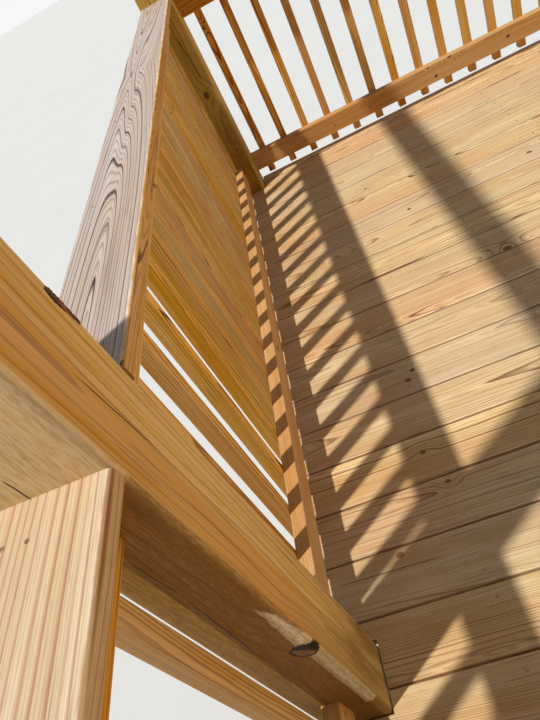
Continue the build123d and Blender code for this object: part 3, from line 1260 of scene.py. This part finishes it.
def bark_crust():
    """A ragged strip of bark left on the far edge of the foreground post."""
    chance = random.Random(7)
    points = []
    for step in range(BARK_ROWS):
        share = step / (BARK_ROWS - 1)
        z = BARK_BOTTOM + BARK_HEIGHT * share
        near = BARK_NEAR + 0.0025 * math.sin(share * 5.0 + 0.6) + 0.0012 * chance.random()
        far = BARK_FAR + 0.0012 * math.sin(share * 11.0) + 0.0010 * chance.random()
        pinch = math.sin(math.pi * share) ** 0.35
        for column in range(BARK_COLUMNS):
            place = column / (BARK_COLUMNS - 1)
            y = (near + far) / 2 + (place - 0.5) * (far - near) * pinch
            rim = column in (0, BARK_COLUMNS - 1) or step in (0, BARK_ROWS - 1)
            lift = -0.0004 if rim else 0.0006 + 0.0020 * chance.random() * place
            over = max(0.0, y - HALF_POST + POST_EASE)
            sunk = POST_EASE - math.sqrt(POST_EASE**2 - over**2)
            points.append(Vector((lift - sunk - INNER_FACE, y, z + 0.0008 * chance.random())))
    faces = []
    for step in range(BARK_ROWS - 1):
        for column in range(BARK_COLUMNS - 1):
            corner = step * BARK_COLUMNS + column
            above = corner + BARK_COLUMNS
            faces.append([corner, corner + 1, above + 1, above])
    return [(points, faces)]


# Camera and studio


CAMERA_PLACE = Vector((-2.0916, -0.4055, 3.490))
CAMERA_RIGHT = Vector((0.9026, -0.1121, -0.4155))
CAMERA_UP = Vector((0.3793, 0.6634, 0.6450))
CAMERA_BACK = Vector((0.2033, -0.7398, 0.6414))
CAMERA_LENS = 27.965
CAMERA_SENSOR = 36.0

# Each lamp's name, direction, strength, width in degrees and colour
LAMPS = [
    ("key", Vector((0.347, 0.25, -1.0)), 3.15, 1.6, (1.0, 0.985, 0.955)),
    ("side", Vector((-1.0, -0.15, -0.12)), 1.3, 50.0, (1.0, 0.93, 0.82)),
    ("top", Vector((0.0, 0.0, -1.0)), 0.42, 120.0, (0.5, 0.75, 1.0)),
]
# Light from all round, and what the camera and mirrors see
FILL = {"Color": (0.9, 0.96, 1.0, 1.0), "Strength": 0.07}
BACKDROP = {"Color": (1.0, 1.0, 1.0, 1.0), "Strength": 0.93}
FLOOR_REACH = 60.0
FLOOR_DROP = 0.001


def add_camera():
    data = bpy.data.cameras.new("camera")
    data.sensor_width = CAMERA_SENSOR
    data.lens = CAMERA_LENS
    data.clip_end = 200.0
    camera = placed("camera", data)
    turn = Matrix((CAMERA_RIGHT, CAMERA_UP, CAMERA_BACK)).transposed()
    camera.matrix_world = Matrix.Translation(CAMERA_PLACE) @ turn.to_4x4()
    bpy.context.scene.camera = camera


def add_lamp(name, direction, energy, angle, colour):
    data = bpy.data.lights.new(name, "SUN")
    data.energy = energy
    data.angle = math.radians(angle)
    data.color = colour
    lamp = placed(name, data)
    lamp.rotation_mode = "QUATERNION"
    lamp.rotation_quaternion = direction.to_track_quat("-Z", "Y")


def add_world():
    world = bpy.data.worlds.new("studio")
    bpy.context.scene.world = world
    world.use_nodes = True
    tree = world.node_tree
    tree.nodes.clear()
    output = tree.nodes.new("ShaderNodeOutputWorld")
    shades = []
    for light in (FILL, BACKDROP):
        background = tree.nodes.new("ShaderNodeBackground")
        plug(background, light)
        shades.append(Field(background.outputs[0]))
    path = tree.nodes.new("ShaderNodeLightPath")
    camera_ray = Field(path.outputs["Is Camera Ray"])
    glossy_ray = Field(path.outputs["Is Glossy Ray"])
    seen = camera_ray.higher(glossy_ray)
    plug(output, {0: made("ShaderNodeMixShader", {0: seen, 1: shades[0], 2: shades[1]})})


def add_floor():
    mesh = bpy.data.meshes.new("floor")
    corners = [(x * FLOOR_REACH, y * FLOOR_REACH, 0) for x, y in ((-1, -1), (1, -1), (1, 1), (-1, 1))]
    mesh.from_pydata(corners, [], [(0, 1, 2, 3)])
    floor = placed("floor", mesh)
    floor.location.z = -FLOOR_DROP
    material, shader, spot = new_material("studio_floor")
    cloud = noise(spot["X"] * 0.8, spot["Y"] * 0.8, 0.0, 3.0)
    colour = mix(cloud, rgb(214, 213, 210), rgb(222, 221, 218))
    plug(shader, {"Base Color": colour, "Roughness": 0.9})
    mesh.materials.append(material)


dress_posts()
dress_deck()
dress_railings()
dress_framing()
ZINC = galvanised()
COATED = coated_steel()
dress("joist_hangers", ZINC)
joined("deck_screws", deck_screws(), COATED)
joined("cap_screws", cap_screws(), COATED)
joined("railing_screws", railing_screws(), COATED)
joined("frame_bolts", frame_bolts(), ZINC)
joined("hanger_nails", hanger_nails(), ZINC)
joined("plank_nails", header_nails() + rim_nails(), ZINC)
joined("bark_crust", bark_crust(), bark())
add_camera()
for lamp in LAMPS:
    add_lamp(*lamp)
add_world()
add_floor()

view = bpy.context.scene.view_settings
view.view_transform = "Standard"
